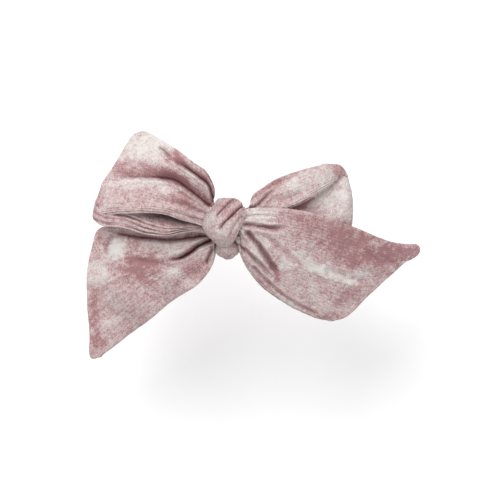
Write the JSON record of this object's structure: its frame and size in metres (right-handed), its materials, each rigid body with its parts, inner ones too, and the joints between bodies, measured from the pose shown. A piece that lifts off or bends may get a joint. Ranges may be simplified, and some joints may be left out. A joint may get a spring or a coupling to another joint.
{
  "type": "barrette",
  "caption": "Hair barrette: a soft velvet bow with loops, pointed tails and a knot, sewn to a sprung metal clip with a hinged lock arm and a squeeze-to-open clasp.",
  "frame": {"origin": "middle of the lock arm's flat back, straight under the knot, with the clip closed", "axes": "+X along the clip from the clasp to the hinge, +Y to the top of the bow, +Z out of the bow's face, away from the head"},
  "size_m": [0.1195, 0.0812, 0.0264],
  "materials": {
    "velvet": "crushed velvet",
    "felt": "felt",
    "thread": "twisted thread",
    "steel": "nickel plated",
    "spring_steel": "polished spring steel",
    "rivet": "nickel plated"
  },
  "bodies": {
    "bow_and_bar": {"left_loop": "velvet", "right_loop": "velvet", "left_tail": "velvet", "right_tail": "velvet", "knot": "velvet", "gathered_waist": "velvet", "gather_thread": "thread", "felt_pad": "felt", "bar_stitches": "thread", "top_bar": "steel", "hinge_pin": "rivet", "tension_pin": "rivet", "clasp_plate": "steel", "clasp_rivets": "rivet"},
    "arm": {"lock_arm": "steel"},
    "spring": {"tension_bar": "spring_steel"},
    "front_leg": {"front_prong": "spring_steel"},
    "rear_leg": {"rear_prong": "spring_steel"}
  },
  "joints": [
    {"name": "arm_swing", "type": "hinge", "parent": "bow_and_bar", "child": "arm", "pos_m": [0.027, 0, 0.00155], "axis": [0, -1, 0], "range_deg": [0, 75]},
    {"name": "tension_flex", "type": "hinge", "parent": "bow_and_bar", "child": "spring", "pos_m": [0.0242, 0, 0.0066], "axis": [0, 1, 0], "range_deg": [0, 2.6], "stiffness_Nm_per_rad": 0.8},
    {"name": "rear_squeeze", "type": "hinge", "parent": "bow_and_bar", "child": "rear_leg", "pos_m": [-0.0265, 0.00335, 0.0079], "axis": [-1, 0, 0], "range_deg": [0, 6], "stiffness_Nm_per_rad": 0.15},
    {"name": "front_squeeze", "type": "hinge", "parent": "bow_and_bar", "child": "front_leg", "pos_m": [-0.0265, -0.00335, 0.0079], "axis": [1, 0, 0], "range_deg": [0, 6], "stiffness_Nm_per_rad": 0.15}
  ]
}
